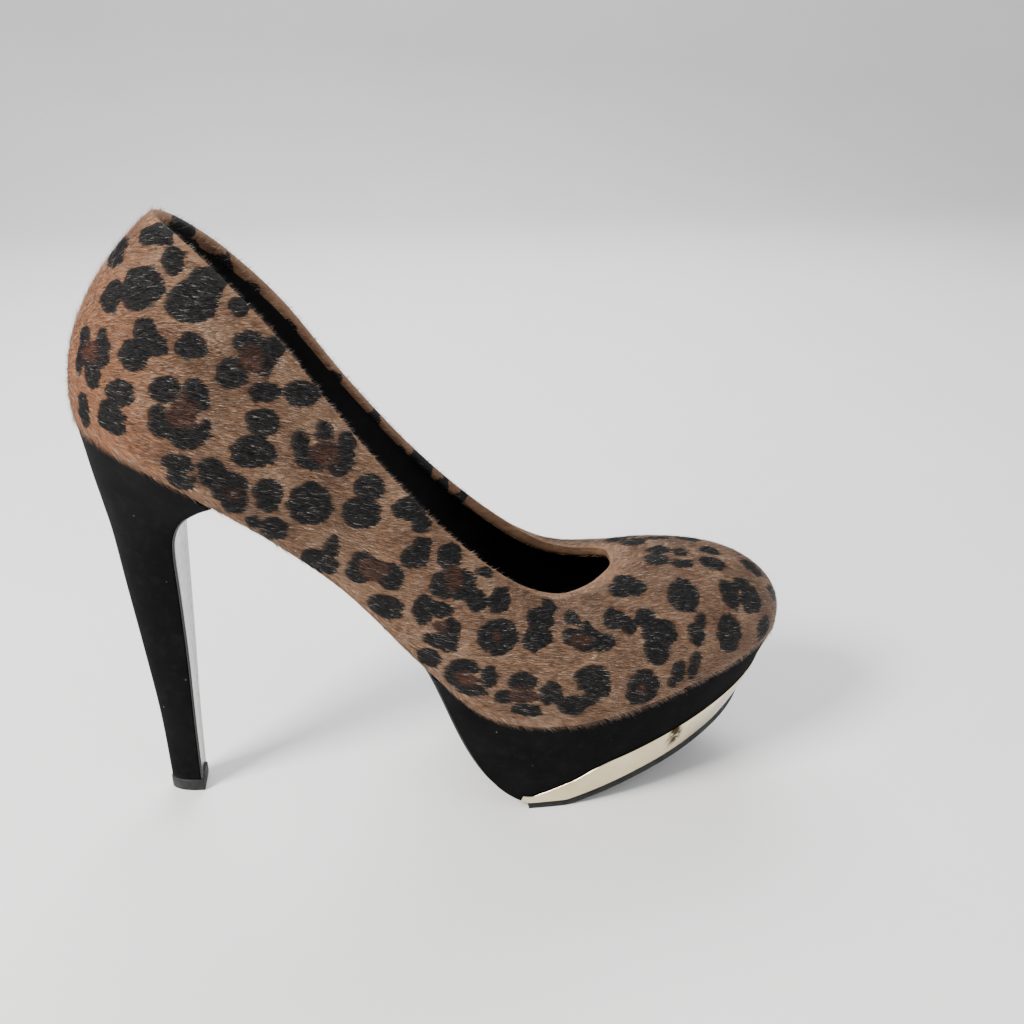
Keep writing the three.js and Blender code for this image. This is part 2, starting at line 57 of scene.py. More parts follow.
LAST_LENGTH, BALL_WIDTH, HEEL_WIDTH = 235.0, 83.0, 57.0
SEAT_HEIGHT, BALL_HEIGHT, TOE_HEIGHT = 143.5, 39.0, 51.0
GAP = 0.3
UPPER_THICK = 1.2
LINING_OUTER, LINING_INNER = 2.7, 3.4
MARGIN_WIDTH = 11.0
SOCK_LOW, SOCK_HIGH = 5.7, 6.4
OUTSOLE_THICK = 2.2
SOLE_FROM = 3.5
COVER_THICK, COVER_MARGIN, COVER_START = 0.8, 9.0, 1.6
SIDE_BELLY = 0.3
TIP_CUT = 0.15
WAIST_SOLE_THICK, WAIST_SOLE_INSET = 1.0, 3.0
TREAD_SHARE, SOLE_TOE_SHARE, TOE_UNDERCUT = 0.81, 0.9, 12.5
PLATFORM_SLOPE, TREAD_LENGTH, TOE_SPRING, ROCKER = 36.0, 13.0, 25.0, 1.1
PLATFORM_START, TREAD_START, TREAD_END = 6.0, 8.0, 8.5
TRIM_HEIGHT, TRIM_THICK, TRIM_START, TRIM_TAPER = 14.5, 0.5, 7.9, 1.1
LIFT_HEIGHT, LIFT_PROUD = 4.5, 0.4
HEEL_FRONT, STEM_X, BREAST_THICK = 3.3, 16.7, 0.8

# Stations from the heel back to the toe tip. Of the feather edge, as shares: place along the last, lateral
# and medial half widths, and how far its height goes from the ball's to the seat's and to the toe's. Then, in
# millimetres, the topline from there (forward, inward, up) and the wall curve's handles at the feather edge
# and at the topline (forward, outward, up).
STATIONS = [
    (0, 0, 0, 1, 0, (30, 0, 59), (-3, 0, 22), (-18.5, 0, -15)),
    (0.019, 0.46, 0.46, 0.981, 0, (28, 6, 59.8), (-2.5, 2, 22), (-17, 3.5, -16)),
    (0.07, 0.84, 0.84, 0.923, 0, (22.5, 11, 61), (-1, 3.5, 22), (-12, 7, -17.5)),
    (0.147, 1, 1, 0.821, 0, (15, 10, 61.7), (1, 3.5, 22), (-6, 8, -18)),
    (0.24, 0.95, 0.92, 0.658, 0, (8, 3, 61.4), (1.5, 4.5, 20), (-3, 5.5, -18)),
    (0.334, 0.64, 0.6, 0.462, 0, (4, -1, 55.2), (1.5, 4.5, 18), (-1, 3.5, -17)),
    (0.428, 0.735, 0.7, 0.215, 0, (0, 1, 57.5), (1, 4.5, 17), (0, 4.5, -17)),
    (0.517, 0.9, 0.89, 0.037, 0, (-4, 7.5, 57.7), (0.5, 4, 16), (1.5, 7, -16)),
    (0.623, 1, 1, 0, 0.03, (-13, 13.5, 47.5), (1, 3.5, 15), (5, 10, -10)),
    (0.73, 0.985, 0.97, 0, 0.36, (-24, 19, 35.5), (2, 3, 14), (11, 11, -4)),
    (0.836, 0.83, 0.84, 0, 0.79, (-38, 19.5, 28.7), (3, 3, 14), (20, 10, 2)),
    (0.921, 0.57, 0.65, 0, 0.96, (-50.5, 15, 27.5), (4, 2, 15.5), (32, 8, 5.5)),
    (0.977, 0.26, 0.38, 0, 1, (-59.5, 7.5, 28), (3.5, 1, 17), (43, 4, 6.5)),
    (1, -0.07, 0.07, 0, 1, (-64, 2.2, 28.3), (3.5, 0, 17), (46, 0, 6.5)),
]
SEAT_STATIONS = 5
TOE = len(STATIONS) - 1
LAP = 2 * TOE

# Sections of the heel: heights of the back and the front between tip and seat, as shares, their places from
# the stem's axis, and half the width.
HEEL_LEVELS = np.array([
    (0, 0, -5.5, 5.8, 5.2),
    (0.19, 0.225, -6.1, 6.6, 6.6),
    (0.38, 0.455, -8, 7.8, 9),
    (0.565, 0.665, -10.1, 8.6, 12.2),
    (0.71, 0.815, -11.6, 9.2, 15.3),
    (0.79, 0.885, -13, 10.6, 17.8),
    (0.862, 0.937, -14.4, 13.8, 21),
    (0.935, 0.974, -15.6, 18.8, 24.8),
])

tube_low, tube_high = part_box("heel_tube")
SHIFT = np.array([
    (tube_low.x + tube_high.x) * 500 - STEM_X, (tube_low.y + tube_high.y) * 500, 0.0])

# ---- The last's surfaces ---------------------------------------------------------------------------


def unit(v):
    return v / np.maximum(np.linalg.norm(v, axis=-1, keepdims=True), 1e-12)


def smoothstep(x, low, high):
    x = np.clip((np.asarray(x, float) - low) / (high - low), 0, 1)
    return x * x * (3 - 2 * x)


def lerp(a, b, t):
    return a + (b - a) * t


def wall_at(index, side):
    along, lateral, medial, drop, spring, top, low, high = STATIONS[index]
    half = (HEEL_WIDTH if index < SEAT_STATIONS else BALL_WIDTH) / 2
    height = BALL_HEIGHT + drop * (SEAT_HEIGHT - BALL_HEIGHT) + spring * (TOE_HEIGHT - BALL_HEIGHT)
    feather = np.array([along * LAST_LENGTH, side * half * (lateral if side < 0 else medial), height])
    def step(v, out=1):
        return np.array([v[0], side * out * v[1], v[2]])
    topline = feather + step(top, -1)
    return [feather, feather + step(low), topline + step(high), topline]


def bezier(a, b, c, d, t):
    """The point at t of a cubic curve from a to d, with handles b and c."""
    s = 1 - t
    return a * s**3 + 3 * b * s * s * t + 3 * c * s * t * t + d * t**3


def through(p0, p1, p2, p3, w):
    """The point at w, from p1 to p2, of a smooth curve through four points."""
    a, b = (p2 - p0) / 2, (p3 - p1) / 2
    return p1 + a * w + (-3 * p1 + 3 * p2 - 2 * a - b) * w**2 + (2 * p1 - 2 * p2 + a + b) * w**3


RAILS = np.array([wall_at(i, -1) for i in range(TOE + 1)] + [wall_at(i, 1) for i in range(TOE - 1, 0, -1)])


def on_rails(k):
    """The four rails' points at stations k: an array (..., 4, 3)."""
    k = np.asarray(k, float) % LAP
    i = np.floor(k).astype(int)
    return through(*(RAILS[(i + d) % LAP] for d in (-1, 0, 1, 2)), (k - i)[..., None, None])


def surface(k, t):
    """The upper's outer surface: k goes round the foot, t from the feather edge to the topline."""
    k, t = np.broadcast_arrays(np.asarray(k, float), np.asarray(t, float))
    rails = on_rails(k)
    return bezier(*(rails[..., i, :] for i in range(4)), t[..., None])


def tangents(k, t):
    along_k = (surface(k + 0.05, t) - surface(k - 0.05, t)) / 0.1
    low, high = np.maximum(0, t - 0.01), np.minimum(1, t + 0.01)
    return along_k, (surface(k, high) - surface(k, low)) / (high - low)[..., None]


def normal(k, t):
    k, t = np.broadcast_arrays(np.asarray(k, float), np.asarray(t, float))
    return unit(np.cross(*tangents(k, t)))


def wall_point(k, t, depth):
    return surface(k, t) - normal(k, t) * np.asarray(depth, float)[..., None]


class Line:
    """An outline over a ruled surface: edge(k) is its plan point, profile(k) its x and z."""

    def __init__(self, edge, profile):
        self.edge, self.profile = edge, profile
        self.ks = np.linspace(0, TOE, 2601)
        self.xs = np.maximum.accumulate(profile(self.ks)[..., 0])

    def station(self, x):
        return np.interp(x, self.xs, self.ks)

    def up(self, k):
        d = self.profile(np.minimum(TOE, k + 0.02)) - self.profile(np.maximum(0, k - 0.02))
        return unit(np.stack([-d[..., 2], 0 * d[..., 0], d[..., 0]], -1))

    def raised(self, x, y, up):
        k = self.station(x)
        n, p = self.up(k), self.profile(k)
        return np.stack([x + n[..., 0] * up, y + 0 * x, p[..., 2] + n[..., 2] * up], -1)

    def at(self, k, inset, up):
        """The edge at station k, moved in by an inset and up along the profile's normal."""
        k = np.asarray(k, float)
        d = self.edge(k + 0.05) - self.edge(k - 0.05)
        d[..., 2] = 0
        d = unit(d)
        p = self.edge(k)
        return self.raised(p[..., 0] - d[..., 1] * inset, p[..., 1] + d[..., 0] * inset, up)


def feather_edge(k):
    return on_rails(k)[..., 0, :]


feather = Line(feather_edge, feather_edge)


def offset_of(line, k, up):
    p = line.profile(k) * [1, 0, 1]
    return p + line.up(k) * up


waist_end = offset_of(feather, np.array(PLATFORM_START), -GAP)
tread_start_x = waist_end[0] + PLATFORM_SLOPE
tread_end_x = tread_start_x + TREAD_LENGTH
# The curve of the platform's back, from the waist down to the tread.
BACK = [
    waist_end,
    np.array([lerp(waist_end[0], tread_start_x, 0.28), 0, waist_end[2] * 0.78]),
    np.array([lerp(waist_end[0], tread_start_x, 0.39), 0, waist_end[2] * 0.16]),
    np.array([tread_start_x, 0, OUTSOLE_THICK]),
]


def base_profile(k):
    """The side view of the platform's underside: the waist, its back, the flat tread and the toe spring."""
    k = np.asarray(k, float)
    waist = offset_of(feather, np.minimum(k, PLATFORM_START), -GAP)
    t = np.clip((k - PLATFORM_START) / (TREAD_START - PLATFORM_START), 0, 1)[..., None]
    back = bezier(*BACK, t)
    x = lerp(tread_start_x, tread_end_x, np.clip((k - TREAD_START) / (TREAD_END - TREAD_START), 0, 1))
    tread = np.stack([x, 0 * x, 0 * x + OUTSOLE_THICK], -1)
    from_x, to_x = feather_edge(np.array(TREAD_END))[0], feather_edge(np.array(float(TOE)))[0]
    share = np.clip((feather_edge(k)[..., 0] - from_x) / (to_x - from_x), 0, 1)
    x = lerp(tread_end_x, LAST_LENGTH - TOE_UNDERCUT, share)
    front = np.stack([x, 0 * x, OUTSOLE_THICK + TOE_SPRING * share**ROCKER], -1)
    k = k[..., None]
    rear = np.where(k <= PLATFORM_START, waist, back)
    return np.where(k <= TREAD_START, rear, np.where(k <= TREAD_END, tread, front))


def own_station(k):
    """The station counted from the heel back on its own side, from 0 to TOE."""
    k = np.asarray(k, float) % LAP
    return np.where(k <= TOE, k, LAP - k)


def base_edge(k):
    own = own_station(k)
    share = lerp(1, TREAD_SHARE, smoothstep(own, PLATFORM_START - 1, PLATFORM_START + 1.5))
    share = share + lerp(0, SOLE_TOE_SHARE - TREAD_SHARE, smoothstep(own, TREAD_END, TOE - 1))
    p = base_profile(own)
    return np.stack([p[..., 0], feather_edge(k)[..., 1] * share, p[..., 2]], -1)


base = Line(base_edge, base_profile)


def platform_room(k):
    """The platform's height at stations k, between the board above it and the sole below."""
    return np.linalg.norm(offset_of(feather, k, -GAP) - offset_of(base, k, GAP), axis=-1)


def side_point(k, share, inset, squeeze=None):
    """A point of the platform's side: share runs from its bottom edge to its top edge."""
    squeeze = inset if squeeze is None else squeeze
    share = np.asarray(share, float)
    out = inset - SIDE_BELLY * 4 * share * (1 - share)
    low, high = base.at(k, out, GAP + squeeze), feather.at(k, out, -GAP - squeeze)
    return lerp(low, high, share[..., None])


# ---- Mesh building ---------------------------------------------------------------------------------


def placed(name, mesh, material):
    """An object with one material, which rides on the one body."""
    mesh.materials.append(material)
    obj = bpy.data.objects.new(name, mesh)
    bpy.context.scene.collection.objects.link(obj)
    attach(obj, "root")
    return obj


def new_piece(name, points, faces, material, slot, node, smooth=35):
    """A closed mesh piece from points in millimetres, which stands for a CAD node."""
    mesh = bpy.data.meshes.new(name)
    points = (np.asarray(points, float).reshape(-1, 3) + SHIFT) / 1000
    mesh.from_pydata(points.tolist(), [], [list(map(int, f)) for f in faces])
    mesh.update()
    mesh.shade_smooth()
    mesh.set_sharp_from_angle(angle=math.radians(smooth))
    obj = placed(name, mesh, material)
    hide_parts(node)
    return obj


def grid_faces(index, wrap_rows=False, wrap_columns=False):
    """Quads over an array of vertex numbers, index[column, row]."""
    if wrap_rows:
        index = np.concatenate([index, index[:, :1]], 1)
    if wrap_columns:
        index = np.concatenate([index, index[:1]], 0)
    a, b, c, d = index[:-1, :-1], index[1:, :-1], index[1:, 1:], index[:-1, 1:]
    return np.stack([a, b, c, d], -1).reshape(-1, 4)


def shell(outer, inner, wrap=False):
    """A solid between two grids [column, row]: seen from outside, columns run right and rows up."""
    columns, rows = outer.shape[:2]
    front = np.arange(columns * rows).reshape(columns, rows)
    back = front + columns * rows
    ring = np.concatenate([front, back[:, ::-1]], 1)
    faces = [grid_faces(ring, wrap_rows=True, wrap_columns=wrap)]
    if not wrap:
        start, end = np.stack([front[0], back[0]]), np.stack([back[-1], front[-1]])
        faces += [grid_faces(start), grid_faces(end)]
    return np.concatenate([outer.reshape(-1, 3), inner.reshape(-1, 3)]), np.concatenate(faces)


def loft(rings):
    """A solid through closed rings [ring, point], counter-clockwise seen from its last one."""
    count, around = rings.shape[:2]
    index = np.arange(count * around).reshape(count, around)
    faces = [list(f[::-1]) for f in grid_faces(index, wrap_rows=True)]
    return rings.reshape(-1, 3), faces + [list(index[0][::-1]), list(index[-1])]


def rounded(points, faces, width, angle=50):
    """The same solid with its sharp edges rounded."""
    mesh = bpy.data.meshes.new("rounding")
    mesh.from_pydata(np.asarray(points).tolist(), [], [list(map(int, f)) for f in faces])
    obj = bpy.data.objects.new("rounding", mesh)
    bpy.context.scene.collection.objects.link(obj)
    bevel = obj.modifiers.new("bevel", "BEVEL")
    bevel.width, bevel.segments = width, 2
    bevel.limit_method, bevel.angle_limit = "ANGLE", math.radians(angle)
    graph = bpy.context.evaluated_depsgraph_get()
    made = bpy.data.meshes.new_from_object(obj.evaluated_get(graph))
    result = np.array([v.co for v in made.vertices]), [list(p.vertices) for p in made.polygons]
    bpy.data.objects.remove(obj)
    bpy.data.meshes.remove(mesh)
    bpy.data.meshes.remove(made)
    return result


def attribute(obj, name, values):
    made = obj.data.attributes.new(name, "FLOAT", "POINT")
    made.data.foreach_set("value", np.asarray(values, np.float32))


# ---- Materials -------------------------------------------------------------------------------------


def rgb(red, green, blue):
    """A display colour, 0 to 255, as the shader's linear colour."""
    c = np.array([red, green, blue]) / 255
    return tuple(np.where(c <= 0.04045, c / 12.92, ((c + 0.055) / 1.055) ** 2.4)) + (1.0,)


class Material:
    """A node material, with short calls for the nodes these materials share."""

    def __init__(self, name, color, roughness, **inputs):
        self.material = bpy.data.materials.new(name)
        self.material.use_nodes = True
        self.nodes, self.links = self.material.node_tree.nodes, self.material.node_tree.links
        self.shader = self.nodes["Principled BSDF"]
        self.shader.inputs["Base Color"].default_value = color
        self.shader.inputs["Roughness"].default_value = roughness
        for key, value in inputs.items():
            self.shader.inputs[key.replace("_", " ")].default_value = value
        self.bumped = None

    def node(self, kind, inputs=(), **settings):
        node = self.nodes.new("ShaderNode" + kind)
        for key, value in settings.items():
            setattr(node, key, value)
        for key, value in dict(inputs).items():
            if isinstance(value, bpy.types.NodeSocket):
                self.links.new(value, node.inputs[key])
            else:
                node.inputs[key].default_value = value
        return node

    def place(self, scale):
        """Object coordinates, stretched."""
        coordinates = self.node("TexCoord").outputs["Object"]
        return self.node("Mapping", {"Vector": coordinates, "Scale": scale}).outputs["Vector"]

    def noise(self, scale, detail, stretch=(1, 1, 1)):
        """Noise whose features are 1000 / scale millimetres across."""
        inputs = {"Vector": self.place(stretch), "Scale": scale, "Detail": detail, "Roughness": 0.6}
        return self.node("TexNoise", inputs).outputs["Fac"]

    def cells(self, scale):
        """Distances from scattered points that lie about 1000 / scale millimetres apart."""
        return self.node("TexVoronoi", {"Vector": self.place((1, 1, 1)), "Scale": scale}).outputs["Distance"]

    def remap(self, value, low, high, to_low=0.0, to_high=1.0):
        inputs = {"Value": value, "From Min": low, "From Max": high, "To Min": to_low, "To Max": to_high}
        return self.node("MapRange", inputs, clamp=True).outputs["Result"]

    def math(self, operation, a, b):
        return self.node("Math", {0: a, 1: b}, operation=operation).outputs[0]

    def mix(self, factor, a, b):
        mix = self.node("Mix", data_type="RGBA")
        for key, value in ((0, factor), (6, a), (7, b)):
            if isinstance(value, bpy.types.NodeSocket):
                self.links.new(value, mix.inputs[key])
            else:
                mix.inputs[key].default_value = value
        return mix.outputs[2]

    def given(self, name):
        """A vertex attribute of the mesh."""
        return self.node("Attribute", attribute_name=name).outputs["Fac"]

    def color(self, value):
        self.links.new(value, self.shader.inputs["Base Color"])
        return self

    def roughness(self, value):
        self.links.new(value, self.shader.inputs["Roughness"])
        return self

    def bump(self, height, millimetres, strength):
        """Adds a height, 0 to 1, of so many millimetres, to what is already there."""
        inputs = {"Height": height, "Distance": millimetres / 1000, "Strength": strength}
        if self.bumped is not None:
            inputs["Normal"] = self.bumped
        self.bumped = self.node("Bump", inputs).outputs["Normal"]
        self.links.new(self.bumped, self.shader.inputs["Normal"])
        return self


def suede(name):
    m = Material(name, rgb(8, 8, 9), 1.0, Specular_IOR_Level=0.05, Sheen_Weight=0.015, Sheen_Roughness=0.5)
    nap = m.noise(260, 4)
    tone = m.mix(m.remap(m.noise(55, 5), 0.35, 0.7), rgb(5, 5, 6), rgb(13, 13, 14))
    tone = m.mix(m.remap(nap, 0.5, 0.85, 0, 0.5), tone, rgb(26, 26, 27))
    lint = m.remap(m.cells(150), 0.03, 0.05, 0.6, 0)
    m.color(m.mix(lint, tone, rgb(120, 118, 114)))
    m.bump(m.noise(2600, 2), 0.12, 0.7).bump(nap, 0.15, 0.35)
    return m.material


def glossy_leather(name):
    m = Material(name, rgb(9, 9, 10), 0.16, Coat_Weight=0.2, Coat_Roughness=0.08, Specular_IOR_Level=0.35)
    m.color(m.mix(m.remap(m.noise(120, 3), 0.4, 0.7), rgb(7, 7, 8), rgb(15, 15, 16)))
    m.roughness(m.remap(m.noise(400, 3), 0.3, 0.8, 0.16, 0.32))
    m.bump(m.noise(350, 2), 0.05, 0.4)
    return m.material


def lining_leather(name):
    m = Material(name, rgb(13, 13, 14), 0.6, Specular_IOR_Level=0.25)
    m.color(m.mix(m.remap(m.noise(45, 4), 0.35, 0.7), rgb(9, 9, 10), rgb(21, 20, 20)))
    m.roughness(m.remap(m.noise(180, 3), 0.3, 0.7, 0.55, 0.8))
    m.bump(m.cells(1500), 0.08, 0.6).bump(m.noise(90, 3), 0.2, 0.3)
    return m.material


def rubber(name):
    m = Material(name, rgb(20, 20, 21), 0.6, Specular_IOR_Level=0.35)
    scuff = m.remap(m.noise(90, 5), 0.58, 0.75, 0, 0.5)
    m.color(m.mix(scuff, rgb(17, 17, 18), rgb(62, 60, 58)))
    m.roughness(m.remap(m.noise(300, 3), 0.3, 0.7, 0.5, 0.8))
    m.bump(m.noise(1300, 2), 0.08, 0.5)
    return m.material


def trim_metal(name):
    m = Material(name, rgb(222, 210, 172), 0.14, Metallic=1.0)
    scratch = m.remap(m.noise(160, 2, (1, 8, 26)), 0.62, 0.7)
    tone = m.mix(m.remap(m.noise(40, 3), 0.35, 0.7), rgb(226, 215, 180), rgb(205, 190, 150))
    worn = m.math("MULTIPLY", m.given("worn"), m.remap(m.noise(420, 4), 0.3, 0.42))
    tone = m.mix(m.math("MULTIPLY", scratch, 0.35), tone, rgb(170, 160, 135))
    m.color(m.mix(worn, tone, rgb(70, 54, 34)))
    m.roughness(m.math("MAXIMUM", m.remap(scratch, 0, 1, 0.09, 0.3), m.math("MULTIPLY", worn, 0.6)))
    m.bump(scratch, -0.03, 0.4).bump(m.noise(70, 2), 0.12, 0.35)
    return m.material


def steel(name):
    m = Material(name, rgb(176, 178, 180), 0.35, Metallic=1.0)
    brushed = m.noise(400, 3, (1, 1, 12))
    m.color(m.mix(brushed, rgb(150, 152, 155), rgb(196, 198, 200)))
    m.roughness(m.remap(brushed, 0.3, 0.7, 0.28, 0.5)).bump(brushed, 0.02, 0.5)
    return m.material


def board(name, light, dark, speck):
    """Board, foam, cloth or plastic: speckled between two tones."""
    m = Material(name, light, 0.9)
    m.color(m.mix(m.remap(m.noise(speck, 5), 0.35, 0.65), dark, light))
    m.bump(m.noise(2 * speck, 3), 0.15, 0.6)
    return m.material


def hide(name):
    """The skin under the hair: the print, with streaks along the lie of the hair."""
    m = Material(name, rgb(150, 105, 72), 0.75, Specular_IOR_Level=0.2)
    streak = m.noise(900, 3, (0.16, 1, 1))
    ground = m.mix(m.remap(m.noise(60, 3), 0.35, 0.7), rgb(108, 80, 60), rgb(136, 104, 78))
    ground = m.mix(m.math("MULTIPLY", m.given("warm"), 0.6), ground, rgb(136, 84, 54))
    ground = m.mix(m.remap(streak, 0.45, 0.75, 0, 0.6), ground, rgb(72, 50, 38))
    spots = m.mix(m.given("brown"), rgb(22, 19, 19), rgb(74, 42, 28))
    edge = m.remap(m.math("ADD", m.given("spot"), m.math("MULTIPLY", streak, 0.5)), 0.62, 0.86)
    m.color(m.mix(edge, ground, spots))
    m.bump(streak, 0.25, 0.8)
    return m.material


def hair(name, color, roughness):
    m = Material(name, color, roughness, Specular_IOR_Level=0.5)
    m.roughness(m.remap(m.noise(500, 2), 0.3, 0.7, roughness - 0.08, roughness + 0.15))
    m.bump(m.noise(3000, 1, (0.2, 1, 1)), 0.03, 0.5)
    return m.material


SUEDE = suede("black_suede")
LINING = lining_leather("lining_leather")
GLOSSY = glossy_leather("glossy_black_leather")
RUBBER = rubber("black_rubber")
TRIM = trim_metal("pale_gold_metal")
STEEL = steel("brushed_steel")
HIDE = hide("printed_hide")

# ---- The print -------------------------------------------------------------------------------------

# Spots of the lateral side: station, height on the wall from 0 to 1, length and height in millimetres.
# The brown ones lie in or among the dark ones.
DARK = [
    (1.4, 0.955, 11, 7), (0.52, 0.79, 9, 10), (2.1, 0.92, 7, 8), (1.8, 0.745, 13, 12),
    (1.27, 0.645, 8, 9), (2.82, 0.945, 10, 8), (2.67, 0.82, 14, 11), (3.38, 0.96, 7, 6),
    (2.12, 0.605, 6, 6), (2.32, 0.575, 8, 6), (2.08, 0.49, 9, 8.5), (2.83, 0.65, 8, 7),
    (2.7, 0.625, 4, 4), (3.42, 0.67, 9, 8), (3.62, 0.86, 9, 7), (3.9, 0.915, 7, 8), (3.85, 0.82, 5, 4),
    (3.87, 0.715, 9, 5.5), (4.35, 0.88, 11, 7.5), (0.95, 0.43, 5, 6), (1.5, 0.44, 6, 11),
    (1.0, 0.33, 4, 8), (1.4, 0.33, 7, 9), (2.0, 0.315, 9, 7), (1.9, 0.185, 10, 10), (1.22, 0.12, 6, 11),
    (2.63, 0.43, 9, 8), (3.03, 0.475, 7.5, 9), (2.62, 0.28, 7.5, 10), (2.97, 0.285, 11, 8),
    (3.2, 0.37, 4, 6), (2.87, 0.135, 9, 6), (2.9, 0.06, 8, 5), (3.3, 0.18, 9, 10), (3.52, 0.165, 11, 10),
    (3.57, 0.1, 8, 7), (3.88, 0.575, 9.5, 8), (3.79, 0.41, 13, 10), (3.99, 0.25, 8.5, 11),
    (4.36, 0.63, 5, 8), (4.65, 0.83, 6, 7), (4.9, 0.79, 7, 11), (4.97, 0.91, 5, 7), (4.52, 0.62, 10, 6),
    (4.5, 0.375, 13, 14), (5.17, 0.6, 12, 10), (5.3, 0.805, 9, 7), (4.07, 0.095, 8, 7), (3.8, 0.05, 5, 4),
    (4.57, 0.08, 8, 8), (4.72, 0.09, 8, 7), (4.8, 0.24, 5, 7), (5.95, 0.94, 11, 7), (6.12, 0.91, 6, 4.5),
    (6.1, 0.78, 6.5, 5.5), (5.96, 0.67, 8, 7), (6.6, 0.87, 7, 8.5), (6.78, 0.77, 8, 10),
    (6.42, 0.67, 8, 8), (5.58, 0.41, 8.5, 10), (5.15, 0.23, 8, 8), (5.2, 0.33, 7, 6), (5.52, 0.18, 12, 9),
    (6.05, 0.4, 6, 11), (6.48, 0.42, 6, 12), (6.3, 0.5, 11, 5), (6.3, 0.3, 12, 6), (6.12, 0.11, 8, 7),
    (6.99, 0.725, 7, 7), (7.43, 0.8, 8, 8), (7.25, 0.57, 13, 11.5), (7.25, 0.94, 6, 3),
    (8.42, 0.85, 5, 6), (8.12, 0.76, 10, 7), (7.88, 0.62, 10, 8), (8.7, 0.76, 5.5, 5), (8.47, 0.63, 6, 5),
    (8.76, 0.63, 8, 8), (8.85, 0.56, 9, 6), (8.62, 0.56, 8, 4), (9.33, 0.68, 7, 7), (9.42, 0.6, 5, 6),
    (9.74, 0.6, 8, 7), (9.7, 0.49, 13, 8), (9.48, 0.39, 10, 9), (10.55, 0.88, 8, 5), (10.35, 0.8, 8, 7),
    (10.1, 0.84, 8, 6), (10.57, 0.605, 12, 11), (10.82, 0.66, 7, 6), (10.33, 0.43, 5, 5),
    (10.1, 0.36, 6, 8), (10.58, 0.26, 11, 12), (11.12, 0.44, 8, 7), (11.35, 0.36, 7, 8),
    (11.5, 0.36, 9, 9), (11.3, 0.5, 8, 6), (11.65, 0.46, 8, 5), (11.42, 0.12, 9, 8), (12.55, 0.46, 9, 8),
    (12.55, 0.86, 9, 6), (11.95, 0.86, 9, 6), (12.4, 0.79, 5, 5), (11.75, 0.765, 8, 5), (12, 0.66, 9, 7),
    (12.7, 0.67, 8, 5), (12.3, 0.25, 7, 5), (8.47, 0.36, 12, 8), (8.52, 0.27, 9, 6), (8.12, 0.19, 10, 7),
    (8.32, 0.2, 7, 5), (9.07, 0.17, 12, 12), (9.6, 0.2, 5, 5), (9.87, 0.2, 5, 5), (9.5, 0.13, 6, 4),
    (9.78, 0.12, 5, 5), (7.5, 0.34, 9, 6), (7.85, 0.27, 7, 8), (7.25, 0.22, 8, 5), (7.52, 0.14, 10, 5),
    (7.05, 0.32, 5, 8), (6.66, 0.27, 11, 5), (6.45, 0.13, 5, 7), (6.73, 0.15, 12, 5), (12.9, 0.2, 9, 7),
]
BROWN = [
    (3.66, 0.8, 7, 7), (1.25, 0.4, 7, 6), (2.9, 0.37, 8, 9), (4.68, 0.73, 8, 8), (5.35, 0.34, 9, 8),
    (6.62, 0.76, 6, 8), (6.3, 0.4, 5, 5), (8.6, 0.6, 7, 4), (7.5, 0.25, 9, 6), (6.72, 0.21, 9, 5),
    (7.25, 0.58, 3, 3), (9.05, 0.16, 4, 3), (3.55, 0.14, 4, 3),
]


def other_side(spots):
    """The medial side's spots: the lateral ones moved about, so that the two sides differ."""
    moved = []
    for k, t, length, height in spots:
        along = 0.28 * math.sin(1.3 * k + 1.2 * t) + 0.22
        up = 0.04 * math.sin(1.1 * k + 1)
        if 0.6 < k + along < 12.2:
            moved.append((LAP - k - along, min(0.97, max(0.05, t + up)), length, height))
    return moved


def hair_lie(k, t):
    """The direction in which the hair lies, towards the toe and slightly down, and the surface's normal."""
    n = normal(k, t)
    down = 0.12 + 0.9 * (1 - smoothstep(t, 0, 0.07)) - 0.3 * smoothstep(t, 0.96, 1)
    lie = np.stack([1 + 0 * k, 0 * k, -down], -1)
    return unit(lie - n * (lie * n).sum(-1, keepdims=True)), n


def wobble(points, size, seed):
    """Smooth noise from -1 to 1 at points in millimetres, with features of a size."""
    r = np.random.default_rng(seed)
    total = 0
    for octave in range(3):
        for _ in range(4):
            direction = unit(r.normal(size=3)) * 2 * math.pi / size * 1.9**octave
            total = total + np.sin(points @ direction + r.uniform(0, 6.28)) / (4 * 1.6**octave)
    return total


def print_distance(points, spots):
    """Millimetres from points to the edge of the nearest spot, negative inside."""
    warped = points + np.stack([wobble(points, 9, 1), wobble(points, 9, 2), wobble(points, 9, 3)], -1) * 0.8
    nearest = np.full(len(points), 99.0)
    for k, t, length, height in spots:
        k, t = np.array(float(k)), np.array(float(t))
        lie, n = hair_lie(k, t)
        offset = warped - surface(k, t)
        near = np.linalg.norm(offset, axis=1) < 0.8 * (length + height)
        along = offset[near] @ lie / (length / 2 + 0.2)
        up = offset[near] @ np.cross(n, lie) / (height / 2 + 0.4)
        reach = (np.hypot(along, up) - 1) * min(length, height) / 2
        deep = np.abs(offset[near] @ n) > 12
        nearest[near] = np.minimum(nearest[near], np.where(deep, 99, reach))
    return nearest + 0.3 * wobble(points, 3.2, 4)


def print_at(points):
    """Shares of dark and brown at points of the upper, each from 0 to 1."""
    dark = 1 - smoothstep(print_distance(points, DARK + other_side(DARK)), -0.5, 0.5)
    brown = 1 - smoothstep(print_distance(points, BROWN + other_side(BROWN)), -1.2, 0.8)
    return np.maximum(dark, brown * 0.9), brown


def warmth(points):
    """How far the ground turns from tan to rust: at the heel back."""
    return 1 - smoothstep(points[:, 0], 8, 42)


# ---- The upper -------------------------------------------------------------------------------------


